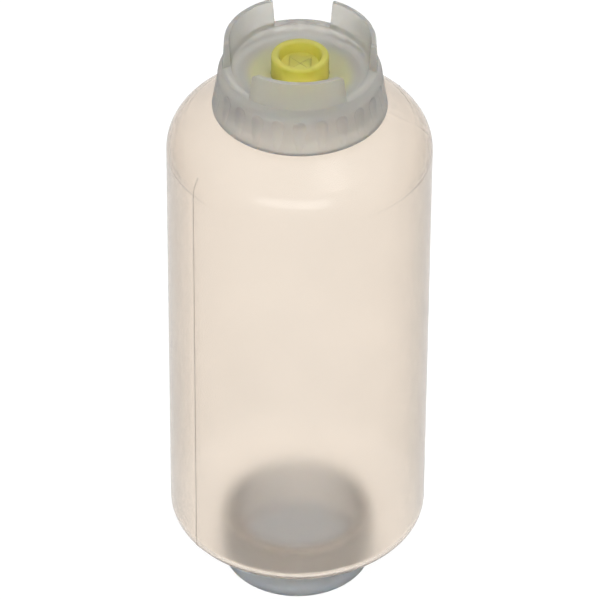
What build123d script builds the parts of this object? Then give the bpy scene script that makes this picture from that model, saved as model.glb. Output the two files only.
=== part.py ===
"""Double-ended squeeze bottle that stands on its refill lid.

Millimetres, +Z up, origin at the middle of the face that it stands on.
The side that faces the viewer is -Y.
"""
from build123d import *
from math import atan2, cos, degrees, radians, sin, sqrt, tan
import os

os.makedirs("parts", exist_ok=True)

# Screw threads, the same at both ends
pitch = 4.0
thread_depth = 1.1
thread_foot = 2.3
thread_crest = 1.1
thread_embed = 0.25
thread_gap = 0.25
neck_turns = 1.25
cap_turns = 0.9
mouth_thread_turn = -90
mouth_thread_inset = 1.4
cap_thread_rise = 1.0
refill_thread_inset = 2.5

# Clearances between pieces
seal_gap = 0.05
hold_gap = 0.05
valve_fit = 0.15
seal_fit = 0.15
slit = 0.08
base_gap = 1.3
shoulder_gap = 2.3
collar_gap = 1.35
cut_over = 1.0

# Bottle body
body_r = 40.0
wall = 1.4
side_height = 145.7
base_slope = 7.0
base_corner_r = 4.5
shoulder_slope = 30.0
shoulder_corner_r = 10.4
neck_r = 20.8
neck_root_r = 1.2
seam_height = 0.15
seam_arc = 0.7
seam_angle = 38.0

# Dispensing cap: the skirt leans out towards its foot, and the crown leans in towards its top
skirt_wall = 2.45
skirt_flare = 1.6
skirt_height = 10.5
skirt_edge = 0.3
mouth_flare = 2.1
deck_height = 11.5
deck_thick = 1.6
deck_round = 2.6
crown_step = 1.5
crown_step_height = 4.1
crown_taper = 0.6
crown_height = 8.9
crown_draft = 0.8
leg_thick = 1.4
leg_corner_r = 1.2
legs = 3
crown_turn = -91.8
notch_depth = 8.6
notch_floor_width = 16.8
notch_top_width = 18.0
ring_arch_half = 2.4
ring_arch_rise = 1.35
flutes = 24
flute_r = 3.6
flute_depth = 0.55
flute_inset = 0.9
flute_fade = 1.0

# Valve with its cross-cut membrane
valve_head_r = 8.6
valve_rise = 6.7
valve_round = 0.8
valve_bore_r = 6.4
dish_depth = 3.2
dish_lean = 0.8
membrane_thick = 0.5
flange_play = 1.3
flange_thick = 1.2
flap_reach = 3.3
flap_taper = 27.0
flaps = 4

# Ring that holds the valve in a collar under the deck
retainer_lip = 1.0
retainer_thick = 1.2
retainer_bevel = 0.3
retainer_ports = 6
retainer_port_r = 1.3
collar_thick = 1.2
collar_bead = 0.3
collar_foot = 0.7

# Seals and refill cap
seal_thick = 1.0
seal_play = 0.55
seal_bevel = 0.15
seal_overhang = 1.4
refill_wall = 1.45
refill_height = 17.6
refill_floor = 2.4
refill_foot_r = 2.0
refill_flute_r = 3.0
refill_flute_depth = 0.3
refill_flute_fade = 12.0
foot_ring_width = 4.6
foot_recess = 0.5

# Radii that follow from those above
bore_r = neck_r - wall
cap_bore_r = neck_r + thread_depth + thread_gap
bead_r = cap_bore_r + skirt_wall
skirt_bottom_r = bead_r + skirt_flare
crown_foot_r = bead_r - crown_step
crown_r = crown_foot_r - crown_taper
crown_in_r = crown_r - leg_thick
deck_wall_r = crown_in_r - crown_draft
collar_out_r = bore_r - collar_gap
collar_in_r = collar_out_r - collar_thick
retainer_r = collar_in_r - hold_gap
retainer_bore_r = valve_head_r + retainer_lip
flange_r = retainer_r - flange_play
seal_r = cap_bore_r - seal_play
refill_r = cap_bore_r + refill_wall
foot_out_r = refill_r - refill_foot_r
foot_in_r = foot_out_r - foot_ring_width

# Heights that follow from those above
refill_rim_z = refill_floor + seal_thick + 2 * seal_gap
refill_thread_z = refill_rim_z + refill_thread_inset
base_edge_z = refill_height + base_gap + (body_r - refill_r) * tan(radians(base_slope))
shoulder_edge_z = base_edge_z + side_height
skirt_bottom_z = shoulder_edge_z + (body_r - skirt_bottom_r) * tan(radians(shoulder_slope)) + shoulder_gap
bead_z = skirt_bottom_z + skirt_height
deck_z = skirt_bottom_z + deck_height
deck_under_z = deck_z - deck_thick
mouth_rim_z = deck_under_z - seal_thick - 2 * seal_gap
mouth_thread_z = mouth_rim_z - mouth_thread_inset - pitch * neck_turns
crown_foot_z = bead_z + crown_step_height
crown_z = crown_foot_z + crown_height
notch_z = crown_z - notch_depth
flange_top_z = deck_under_z - hold_gap
flange_foot_z = flange_top_z - flange_thick
retainer_top_z = flange_foot_z - hold_gap
retainer_foot_z = retainer_top_z - retainer_thick
collar_bead_z = retainer_foot_z - hold_gap
collar_foot_z = collar_bead_z - collar_foot
valve_top_z = deck_z + valve_rise
membrane_z = valve_top_z - dish_depth


def shoulder_height(radius, inset):
    rise = (body_r - radius) * tan(radians(shoulder_slope))
    return shoulder_edge_z + rise - inset / cos(radians(shoulder_slope))


def base_height(radius, inset):
    drop = (body_r - radius) * tan(radians(base_slope))
    return base_edge_z - drop + inset / cos(radians(base_slope))


def bottle_outline(inset):
    """Half section of the bottle, drawn in by the given amount, filled up to the axis."""
    side = body_r - inset
    bore = neck_r - inset
    with BuildSketch(Plane.XZ, mode=Mode.PRIVATE) as outline:
        with BuildLine():
            Polyline(
                (0, refill_rim_z),
                (bore, refill_rim_z),
                (bore, base_height(bore, inset)),
                (side, base_height(side, inset)),
                (side, shoulder_height(side, inset)),
                (bore, shoulder_height(bore, inset)),
                (bore, mouth_rim_z),
                (0, mouth_rim_z),
                close=True,
            )
        make_face()
        for corner, rounding in (
            ((bore, base_height(bore, inset)), neck_root_r + inset),
            ((side, base_height(side, inset)), base_corner_r - inset),
            ((side, shoulder_height(side, inset)), shoulder_corner_r - inset),
            ((bore, shoulder_height(bore, inset)), neck_root_r + inset),
        ):
            fillet(outline.vertices().sort_by_distance(corner)[0], rounding)
    return outline.sketch


def parting_seam():
    """Thin raised line that the two mould halves leave down the side."""
    with BuildPart(mode=Mode.PRIVATE) as seam:
        revolve(bottle_outline(-seam_height), axis=Axis.Z, revolution_arc=seam_arc)
        with Locations((0, 0, (base_edge_z + shoulder_edge_z) / 2)):
            Cylinder(2 * body_r, shoulder_edge_z - base_edge_z, mode=Mode.INTERSECT)
    return seam.part.rotate(Axis.Z, seam_angle - seam_arc / 2)


def thread_ridge(foot_r, depth, start_z, turns, start_angle):
    """Helical ridge on a wall of radius foot_r; a negative depth stands inward."""
    side = -1 if depth < 0 else 1
    with BuildPart(mode=Mode.PRIVATE) as ridge:
        with BuildLine() as path:
            Helix(pitch, pitch * turns, foot_r - side * thread_embed, center=(0, 0, start_z))
        start = Plane(origin=path.line @ 0, x_dir=(1, 0, 0), z_dir=path.line % 0)
        foot = side * thread_embed
        half_foot = side * thread_foot / 2
        half_crest = side * thread_crest / 2
        with BuildSketch(start):
            with BuildLine():
                Polyline(
                    (0, -half_foot),
                    (foot, -half_foot),
                    (foot + depth, -half_crest),
                    (foot + depth, half_crest),
                    (foot, half_foot),
                    (0, half_foot),
                    close=True,
                )
            make_face()
        sweep(path=path.line, is_frenet=True)
    return ridge.part.rotate(Axis.Z, start_angle)


def flute_cutters(deep_r, deep_z, faded_r, faded_z, cutter_r, depth):
    """Round-ended rods round a skirt that cut grooves, deepest at one height and faded out at another."""
    deep_x = deep_r + cutter_r - depth
    faded_x = faded_r + cutter_r
    tilt = degrees(atan2(deep_x - faded_x, deep_z - faded_z))
    length = sqrt((deep_x - faded_x) ** 2 + (deep_z - faded_z) ** 2)
    with BuildPart(mode=Mode.PRIVATE) as cutters:
        with PolarLocations(0, flutes):
            with Locations(Location((deep_x, 0, deep_z), (0, tilt, 0))):
                Sphere(cutter_r)
                Cylinder(cutter_r, length, align=(Align.CENTER, Align.CENTER, Align.MAX))
    return cutters.part


def crown_notches():
    """The gaps between the crown's legs, down to the arched top of the ring that they stand on."""
    with BuildPart(mode=Mode.PRIVATE) as notches:
        for number in range(legs):
            outward = radians(crown_turn + 360 * (number + 0.5) / legs)
            across = (-sin(outward), cos(outward), 0)
            facing = Plane(origin=(0, 0, 0), x_dir=across, z_dir=(cos(outward), sin(outward), 0))
            with BuildSketch(facing) as notch:
                with BuildLine():
                    Polyline(
                        (-notch_floor_width / 2, deck_z),
                        (notch_floor_width / 2, deck_z),
                        (notch_floor_width / 2, notch_z),
                        (notch_top_width / 2, crown_z),
                        (notch_top_width, crown_z),
                        (notch_top_width, crown_z + cut_over),
                        (-notch_top_width, crown_z + cut_over),
                        (-notch_top_width, crown_z),
                        (-notch_top_width / 2, crown_z),
                        (-notch_floor_width / 2, notch_z),
                        close=True,
                    )
                make_face()
                tops = notch.vertices().group_by(Axis.Y)[2].sort_by(Axis.X)
                fillet(tops[1:3], leg_corner_r)
            extrude(amount=skirt_bottom_r)
        ring_r = (deck_wall_r + crown_foot_r) / 2
        with BuildSketch(Plane.XZ):
            with BuildLine():
                ThreePointArc(
                    (ring_r - ring_arch_half, notch_z - ring_arch_rise),
                    (ring_r, notch_z),
                    (ring_r + ring_arch_half, notch_z - ring_arch_rise),
                )
                Polyline(
                    (ring_r + ring_arch_half, notch_z - ring_arch_rise),
                    (ring_r + ring_arch_half, crown_z + cut_over),
                    (ring_r - ring_arch_half, crown_z + cut_over),
                    (ring_r - ring_arch_half, notch_z - ring_arch_rise),
                )
            make_face()
        revolve(axis=Axis.Z, mode=Mode.INTERSECT)
    return notches.part


# Blow-moulded body with a threaded neck at each end
with BuildPart() as bottle_body:
    revolve(bottle_outline(0), axis=Axis.Z)
    with PolarLocations(0, 2):
        add(parting_seam())
    revolve(bottle_outline(wall), axis=Axis.Z, mode=Mode.SUBTRACT)
    add(thread_ridge(neck_r, thread_depth, mouth_thread_z, neck_turns, mouth_thread_turn))
    add(thread_ridge(neck_r, thread_depth, refill_thread_z, neck_turns, 0))
bottle_body.part.label = "bottle_body"

# Dispensing cap: fluted skirt, deck with a hole for the valve, collar, and a crown of legs
with BuildPart() as dispensing_cap:
    with BuildSketch(Plane.XZ) as section:
        with BuildLine():
            TangentArc((bead_r, bead_z), (crown_foot_r, crown_foot_z), tangent=(0, 1))
            Polyline(
                (crown_foot_r, crown_foot_z),
                (crown_r, crown_z),
                (crown_in_r, crown_z),
                (deck_wall_r, deck_z),
                (valve_head_r + valve_fit, deck_z),
                (valve_head_r + valve_fit, deck_under_z),
                (collar_in_r, deck_under_z),
                (collar_in_r, collar_bead_z),
                (collar_in_r - collar_bead, collar_bead_z - collar_bead),
                (collar_in_r, collar_foot_z),
                (collar_out_r, collar_foot_z),
                (collar_out_r, deck_under_z),
                (cap_bore_r, deck_under_z),
                (cap_bore_r, skirt_bottom_z + mouth_flare),
                (cap_bore_r + mouth_flare, skirt_bottom_z),
                (skirt_bottom_r - skirt_edge, skirt_bottom_z),
                (skirt_bottom_r, skirt_bottom_z + skirt_edge),
                (bead_r, bead_z),
            )
        make_face()
        fillet(section.vertices().sort_by_distance((deck_wall_r, deck_z))[0], deck_round)
    revolve(axis=Axis.Z)
    add(
        thread_ridge(
            cap_bore_r,
            -thread_depth,
            mouth_thread_z + cap_thread_rise,
            cap_turns,
            mouth_thread_turn + 180 + 360 * cap_thread_rise / pitch,
        )
    )
    add(crown_notches(), mode=Mode.SUBTRACT)
    add(
        flute_cutters(
            bead_r,
            bead_z - flute_inset,
            skirt_bottom_r,
            skirt_bottom_z + flute_fade,
            flute_r,
            flute_depth,
        ),
        mode=Mode.SUBTRACT,
    )
dispensing_cap.part.label = "dispensing_cap"

# Valve: a flange under the deck and a head that stands up through it, dished and cross-cut
with BuildPart() as dispensing_valve:
    with BuildSketch(Plane.XZ) as section:
        with BuildLine():
            Polyline(
                (0, membrane_z),
                (valve_bore_r - dish_lean, membrane_z),
                (valve_bore_r, valve_top_z),
                (valve_head_r, valve_top_z),
                (valve_head_r, flange_top_z),
                (flange_r, flange_top_z),
                (flange_r, flange_foot_z),
                (valve_bore_r, flange_foot_z),
                (valve_bore_r, membrane_z - membrane_thick),
                (0, membrane_z - membrane_thick),
                close=True,
            )
        make_face()
        for corner in ((valve_bore_r, valve_top_z), (valve_head_r, valve_top_z)):
            fillet(section.vertices().sort_by_distance(corner)[0], valve_round)
    revolve(axis=Axis.Z)
    with BuildSketch(Plane.XY.offset(membrane_z)):
        Rectangle(2 * flap_reach, 2 * flap_reach, rotation=crown_turn)
    extrude(amount=-membrane_thick, mode=Mode.SUBTRACT)
dispensing_valve.part.label = "dispensing_valve"

# Four flaps between the cuts, narrower below so that they can swing up and out together
valve_flaps = []
for number in range(flaps):
    with BuildPart() as valve_flap:
        with BuildSketch(Plane.XY.offset(membrane_z)):
            with BuildLine():
                Polyline(
                    (slit, 0),
                    (flap_reach - slit, flap_reach - 2 * slit),
                    (flap_reach - slit, 2 * slit - flap_reach),
                    close=True,
                )
            make_face()
        extrude(amount=-membrane_thick, taper=flap_taper)
    turned_flap = valve_flap.part.rotate(Axis.Z, crown_turn + 360 * number / flaps)
    turned_flap.label = f"valve_flap_{number + 1}"
    valve_flaps.append(turned_flap)

# Ring that snaps into the collar and holds the valve's flange up against the deck
with BuildPart() as valve_retainer:
    with BuildSketch(Plane.XZ):
        with BuildLine():
            Polyline(
                (retainer_bore_r, retainer_foot_z),
                (retainer_r - retainer_bevel, retainer_foot_z),
                (retainer_r, retainer_foot_z + retainer_bevel),
                (retainer_r, retainer_top_z),
                (retainer_bore_r + retainer_bevel, retainer_top_z),
                (retainer_bore_r, retainer_top_z - retainer_bevel),
                close=True,
            )
        make_face()
    revolve(axis=Axis.Z)
    with BuildSketch(Plane.XY.offset(retainer_foot_z)):
        with PolarLocations((retainer_r + retainer_bore_r) / 2, retainer_ports):
            Circle(retainer_port_r)
    extrude(amount=retainer_thick, mode=Mode.SUBTRACT)
valve_retainer.part.label = "valve_retainer"

# Flat seals, one between each cap and the rim of its neck
with BuildPart() as dispensing_seal:
    with BuildSketch(Plane.XY.offset(mouth_rim_z + seal_gap)):
        Circle(seal_r)
        Circle(collar_out_r + seal_fit, mode=Mode.SUBTRACT)
    extrude(amount=seal_thick)
    chamfer(dispensing_seal.edges().filter_by(GeomType.CIRCLE), seal_bevel)
dispensing_seal.part.label = "dispensing_seal"

with BuildPart() as refill_seal:
    with BuildSketch(Plane.XY.offset(refill_floor + seal_gap)):
        Circle(seal_r)
        Circle(bore_r - seal_overhang, mode=Mode.SUBTRACT)
    extrude(amount=seal_thick)
    chamfer(refill_seal.edges().filter_by(GeomType.CIRCLE), seal_bevel)
refill_seal.part.label = "refill_seal"

# Refill cap: the screw lid that the bottle stands on
with BuildPart() as refill_cap:
    with BuildSketch(Plane.XZ) as section:
        with BuildLine():
            Polyline(
                (0, foot_recess),
                (foot_in_r - foot_recess, foot_recess),
                (foot_in_r, 0),
                (refill_r, 0),
                (refill_r, refill_height - skirt_edge),
                (refill_r - skirt_edge, refill_height),
                (cap_bore_r + skirt_edge, refill_height),
                (cap_bore_r, refill_height - skirt_edge),
                (cap_bore_r, refill_floor),
                (0, refill_floor),
                close=True,
            )
        make_face()
        fillet(section.vertices().sort_by_distance((refill_r, 0))[0], refill_foot_r)
    revolve(axis=Axis.Z)
    add(thread_ridge(cap_bore_r, -thread_depth, refill_thread_z, cap_turns, 180))
    add(
        flute_cutters(
            refill_r,
            refill_height,
            refill_r,
            refill_height - refill_flute_fade,
            refill_flute_r,
            refill_flute_depth,
        ),
        mode=Mode.SUBTRACT,
    )
refill_cap.part.label = "refill_cap"

for piece in (
    bottle_body.part,
    dispensing_cap.part,
    dispensing_valve.part,
    *valve_flaps,
    valve_retainer.part,
    dispensing_seal.part,
    refill_cap.part,
    refill_seal.part,
):
    export_step(piece, f"parts/{piece.label}.step")
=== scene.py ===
"""Looks of a translucent double-ended squeeze bottle, standing on its refill lid.

Metres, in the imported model's frame: +Z up, the viewer on the -Y side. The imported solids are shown
as they are. This script gives them their plastics, and adds the floor, the light and the camera.
"""

from math import radians

import bpy
from mathutils import Matrix, Vector

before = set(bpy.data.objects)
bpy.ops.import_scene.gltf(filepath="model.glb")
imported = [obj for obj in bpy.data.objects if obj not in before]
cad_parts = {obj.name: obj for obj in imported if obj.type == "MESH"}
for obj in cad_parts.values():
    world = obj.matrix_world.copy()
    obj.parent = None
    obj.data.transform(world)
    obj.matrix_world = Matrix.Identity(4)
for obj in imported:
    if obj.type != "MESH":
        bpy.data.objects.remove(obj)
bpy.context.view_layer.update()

# The photograph's frame and its camera, fitted to the bottle's outlines; angles in degrees
photo_px = 600
sensor_mm = 36.0
focal_px = 5247.0
axis_px = 298.61  # pixel column of the lens's axis
camera_pitch = 38.73
camera_roll = 0.353
camera_back = 1.2564
camera_up = 1.1096
nearest_seen = 0.05
furthest_seen = 20.0

# Colours, linear
body_tint = (1.0, 0.965, 0.92)
body_absorption = (0.995, 0.68, 0.34)
cap_tint = (0.83, 0.82, 0.79)
# painted glow, not the cap's own colour: the yellow of the valve's flange seen through the deck
flange_glow_painted_tint = (0.86, 0.85, 0.66)
valve_tint = (0.92, 0.86, 0.19)
refill_tint = (0.94, 0.97, 1.0)
retainer_tint = (0.88, 0.87, 0.84)
seal_tint = (0.86, 0.86, 0.86)

# What the plastics share: a drift of colour, a grain that sets gloss and relief, and scatter
drift_scale = 28.0
drift_detail = 3.0
drift_shade = 0.96
drift_from, drift_to = 0.3, 0.7
grain_detail = 4.0
grain_from, grain_to = 0.46, 0.58
relief_strength = 0.25
scatter_radius = (1.0, 0.8, 0.6)
scatter_scale = 0.004

# The body's haze per metre, and a painted glow: the yellow of the valve's flange, which shows through
# the middle of the cap, painted into the cap's colour
body_density = 60.0
flange_glow_painted_r = 0.0155
flange_glow_painted_fade = 0.002

# The floor, a hair below the face that the bottle stands on, so that the two don't mix
floor_side = 6.0
floor_place = (0, 1.5, -0.0001)
floor_grey = (0.8, 0.8, 0.8, 1)
shadow_grey = (0.15, 0.15, 0.15, 1)
floor_glow = 0.92
contact_reach = 0.008
contact_level = 0.6

# Light: the world's strength, and each lamp's place, what it faces, its sides and its watts
world_strength = 0.85
white = 1.0
lamps = {
    "overhead": ((0.15, 0.45, 1.5), (0, 0, 0.1), (1.2, 1.2), 8),
    "front": ((-0.1, -1.1, 1.3), (0, 0, 0.15), (1.5, 0.8), 9),
}

# Sockets of a Mix node for colours; its kinds share their names, so they are told by number
mix_factor, mix_first, mix_second, mix_result = 0, 6, 7, 2


def node_material(name):
    """A material with an empty node tree but for its output: it, its nodes, links and output."""
    material = bpy.data.materials.new(name)
    material.use_nodes = True
    nodes = material.node_tree.nodes
    nodes.clear()
    output = nodes.new("ShaderNodeOutputMaterial")
    return material, nodes, material.node_tree.links, output


def find_node(material, kind):
    """The material's node of this kind."""
    return next(node for node in material.node_tree.nodes if node.type == kind)


def either(nodes, links, first, second):
    """A socket that is 1 where one of two sockets is 1, and 0 where both are 0."""
    larger = nodes.new("ShaderNodeMath")
    larger.operation = "MAXIMUM"
    links.new(first, larger.inputs[0])
    links.new(second, larger.inputs[1])
    return larger.outputs[0]


def choose(nodes, links, switch, at_0, at_1):
    """One of two shaders, by a socket that is 0 or 1."""
    mix = nodes.new("ShaderNodeMixShader")
    links.new(switch, mix.inputs["Fac"])
    links.new(at_0, mix.inputs[1])
    links.new(at_1, mix.inputs[2])
    return mix.outputs["Shader"]


def moulded_plastic(
    name, tint, clear, hazy, transmission, index=1.4, subsurface=1.0, grain=1400, depth=0.00002
):
    """Translucent moulded plastic: a faint drift of colour, a fine grain with a low relief, and
    roughness that goes from clear to hazy over the grain."""
    material, nodes, links, output = node_material(name)
    shader = nodes.new("ShaderNodeBsdfPrincipled")
    shader.inputs["IOR"].default_value = index
    shader.inputs["Transmission Weight"].default_value = transmission
    shader.inputs["Subsurface Weight"].default_value = subsurface
    shader.inputs["Subsurface Radius"].default_value = scatter_radius
    shader.inputs["Subsurface Scale"].default_value = scatter_scale
    place = nodes.new("ShaderNodeTexCoord")

    drift = nodes.new("ShaderNodeTexNoise")
    drift.inputs["Scale"].default_value = drift_scale
    drift.inputs["Detail"].default_value = drift_detail
    links.new(place.outputs["Object"], drift.inputs["Vector"])
    colour = nodes.new("ShaderNodeValToRGB")
    darker, full = colour.color_ramp.elements
    darker.position = drift_from
    darker.color = (*[channel * drift_shade for channel in tint], 1)
    full.position = drift_to
    full.color = (*tint, 1)
    links.new(drift.outputs["Fac"], colour.inputs["Fac"])
    links.new(colour.outputs["Color"], shader.inputs["Base Color"])

    fine = nodes.new("ShaderNodeTexNoise")
    fine.inputs["Scale"].default_value = grain
    fine.inputs["Detail"].default_value = grain_detail
    links.new(place.outputs["Object"], fine.inputs["Vector"])
    haze = nodes.new("ShaderNodeMapRange")
    haze.inputs["From Min"].default_value = grain_from
    haze.inputs["From Max"].default_value = grain_to
    haze.inputs["To Min"].default_value = clear
    haze.inputs["To Max"].default_value = hazy
    links.new(fine.outputs["Fac"], haze.inputs["Value"])
    links.new(haze.outputs["Result"], shader.inputs["Roughness"])
    relief = nodes.new("ShaderNodeBump")
    relief.inputs["Strength"].default_value = relief_strength
    relief.inputs["Distance"].default_value = depth
    links.new(fine.outputs["Fac"], relief.inputs["Height"])
    links.new(relief.outputs["Normal"], shader.inputs["Normal"])
    links.new(shader.outputs["BSDF"], output.inputs["Surface"])
    return material


def paint_middle_glow(material, tint, radius, fade):
    """Painted glow: the middle of the piece takes another tint, as far as the given radius from its
    axis, in place of colour seen through the plastic.
    """
    nodes = material.node_tree.nodes
    links = material.node_tree.links
    shader = find_node(material, "BSDF_PRINCIPLED")
    plain = shader.inputs["Base Color"].links[0].from_socket
    place = nodes.new("ShaderNodeTexCoord")
    flat = nodes.new("ShaderNodeVectorMath")
    flat.operation = "MULTIPLY"
    flat.inputs[1].default_value = (1, 1, 0)
    links.new(place.outputs["Object"], flat.inputs[0])
    reach = nodes.new("ShaderNodeVectorMath")
    reach.operation = "LENGTH"
    links.new(flat.outputs["Vector"], reach.inputs[0])
    near = nodes.new("ShaderNodeMapRange")
    near.interpolation_type = "SMOOTHSTEP"
    near.inputs["From Min"].default_value = radius - fade
    near.inputs["From Max"].default_value = radius + fade
    near.inputs["To Min"].default_value = 1.0
    near.inputs["To Max"].default_value = 0.0
    links.new(reach.outputs["Value"], near.inputs["Value"])
    mix = nodes.new("ShaderNodeMix")
    mix.data_type = "RGBA"
    mix.inputs[mix_second].default_value = (*tint, 1)
    links.new(near.outputs["Result"], mix.inputs[mix_factor])
    links.new(plain, mix.inputs[mix_first])
    links.new(mix.outputs[mix_result], shader.inputs["Base Color"])


def absorb(material, colour, density):
    """Light loses a little colour on its way through the plastic; density is per metre."""
    inside = material.node_tree.nodes.new("ShaderNodeVolumeAbsorption")
    inside.inputs["Color"].default_value = (*colour, 1)
    inside.inputs["Density"].default_value = density
    output = find_node(material, "OUTPUT_MATERIAL")
    material.node_tree.links.new(inside.outputs["Volume"], output.inputs["Volume"])


def dress(node, material):
    """Give a CAD node its material."""
    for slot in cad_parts[node].material_slots:
        slot.material = material


def floor_material():
    """White to the camera with a faint shadow, white with a contact shadow in reflections and
    through plastic, and a plain diffuse floor for the light that it sends back."""
    material, nodes, links, output = node_material("floor")
    rays = nodes.new("ShaderNodeLightPath").outputs
    plain = nodes.new("ShaderNodeBsdfDiffuse")
    plain.inputs["Color"].default_value = floor_grey

    shaded = nodes.new("ShaderNodeBsdfDiffuse")
    shaded.inputs["Color"].default_value = shadow_grey
    lit = nodes.new("ShaderNodeEmission")
    lit.inputs["Strength"].default_value = floor_glow
    seen = nodes.new("ShaderNodeAddShader")
    links.new(shaded.outputs["BSDF"], seen.inputs[0])
    links.new(lit.outputs["Emission"], seen.inputs[1])

    contact = nodes.new("ShaderNodeAmbientOcclusion")
    contact.inputs["Distance"].default_value = contact_reach
    beneath = nodes.new("ShaderNodeMapRange")
    beneath.inputs["To Min"].default_value = contact_level
    links.new(contact.outputs["AO"], beneath.inputs["Value"])
    mirrored = nodes.new("ShaderNodeEmission")
    links.new(beneath.outputs["Result"], mirrored.inputs["Strength"])

    indirect = either(nodes, links, rays["Is Glossy Ray"], rays["Is Transmission Ray"])
    unseen = choose(nodes, links, indirect, plain.outputs["BSDF"], mirrored.outputs["Emission"])
    surface = choose(nodes, links, rays["Is Camera Ray"], unseen, seen.outputs["Shader"])
    links.new(surface, output.inputs["Surface"])
    return material


def make_floor():
    """A floor that is wide enough for every view, and isn't part of the object."""
    bpy.ops.mesh.primitive_plane_add(size=floor_side, location=floor_place)
    floor = bpy.context.object
    floor.name = "floor"
    floor.data.materials.append(floor_material())


def make_world():
    """Soft light from all sides, and white where it is seen, mirrored or seen through plastic."""
    world = bpy.data.worlds.new("studio")
    bpy.context.scene.world = world
    world.use_nodes = True
    nodes = world.node_tree.nodes
    links = world.node_tree.links
    nodes.clear()
    output = nodes.new("ShaderNodeOutputWorld")
    rays = nodes.new("ShaderNodeLightPath").outputs
    seen = either(nodes, links, rays["Is Camera Ray"], rays["Is Glossy Ray"])
    seen = either(nodes, links, seen, rays["Is Transmission Ray"])
    soft = nodes.new("ShaderNodeBackground")
    soft.inputs["Strength"].default_value = world_strength
    backdrop = nodes.new("ShaderNodeBackground")
    backdrop.inputs["Strength"].default_value = white
    sky = choose(
        nodes, links, seen, soft.outputs["Background"], backdrop.outputs["Background"]
    )
    links.new(sky, output.inputs["Surface"])


def make_lamp(name, place, aim, size, power):
    """A rectangular lamp that faces a point."""
    lamp = bpy.data.lights.new(name, "AREA")
    lamp.shape = "RECTANGLE"
    lamp.size, lamp.size_y = size
    lamp.energy = power
    holder = bpy.data.objects.new(name, lamp)
    bpy.context.collection.objects.link(holder)
    holder.location = place
    holder.rotation_euler = (Vector(aim) - Vector(place)).to_track_quat("-Z", "Y").to_euler()


def make_camera():
    """The photograph's camera, shifted by as much as its lens's axis is off the middle."""
    lens = bpy.data.cameras.new("camera")
    lens.sensor_width = sensor_mm
    lens.lens = focal_px / photo_px * sensor_mm
    lens.shift_x = (photo_px / 2 - axis_px) / photo_px
    lens.clip_start = nearest_seen
    lens.clip_end = furthest_seen
    viewer = bpy.data.objects.new("camera", lens)
    bpy.context.collection.objects.link(viewer)
    tilt = Matrix.Rotation(radians(90 - camera_pitch), 4, "X")
    roll = Matrix.Rotation(radians(camera_roll), 4, "Z")
    viewer.matrix_world = Matrix.Translation((0, -camera_back, camera_up)) @ tilt @ roll
    bpy.context.scene.camera = viewer


make_camera()
make_floor()
make_world()
for name, setting in lamps.items():
    make_lamp(name, *setting)

body_plastic = moulded_plastic(
    "body_plastic", body_tint, clear=0.18, hazy=0.24, transmission=0.96, subsurface=0.0,
    grain=900, depth=0.000001,
)
absorb(body_plastic, body_absorption, body_density)
cap_plastic = moulded_plastic("cap_plastic", cap_tint, clear=0.56, hazy=0.66, transmission=0.8)
# painted glow: the yellow flange under the deck is painted into the cap's colour near its axis
paint_middle_glow(cap_plastic, flange_glow_painted_tint, flange_glow_painted_r, flange_glow_painted_fade)
refill_plastic = moulded_plastic(
    "refill_plastic", refill_tint, clear=0.7, hazy=0.8, transmission=0.9, index=1.5,
)
retainer_plastic = moulded_plastic(
    "retainer_plastic", retainer_tint, clear=0.45, hazy=0.55, transmission=0.75,
)
valve_silicone = moulded_plastic(
    "valve_silicone", valve_tint, clear=0.42, hazy=0.5, transmission=0.7, grain=2200,
)
seal_rubber = moulded_plastic(
    "seal_rubber", seal_tint, clear=0.55, hazy=0.65, transmission=0.5, subsurface=0.1, grain=2200,
)

dress("bottle_body", body_plastic)
dress("dispensing_cap", cap_plastic)
dress("refill_cap", refill_plastic)
dress("valve_retainer", retainer_plastic)
for node in ("dispensing_valve", "valve_flap_1", "valve_flap_2", "valve_flap_3", "valve_flap_4"):
    dress(node, valve_silicone)
for node in ("dispensing_seal", "refill_seal"):
    dress(node, seal_rubber)

bpy.context.scene.view_settings.view_transform = "Standard"
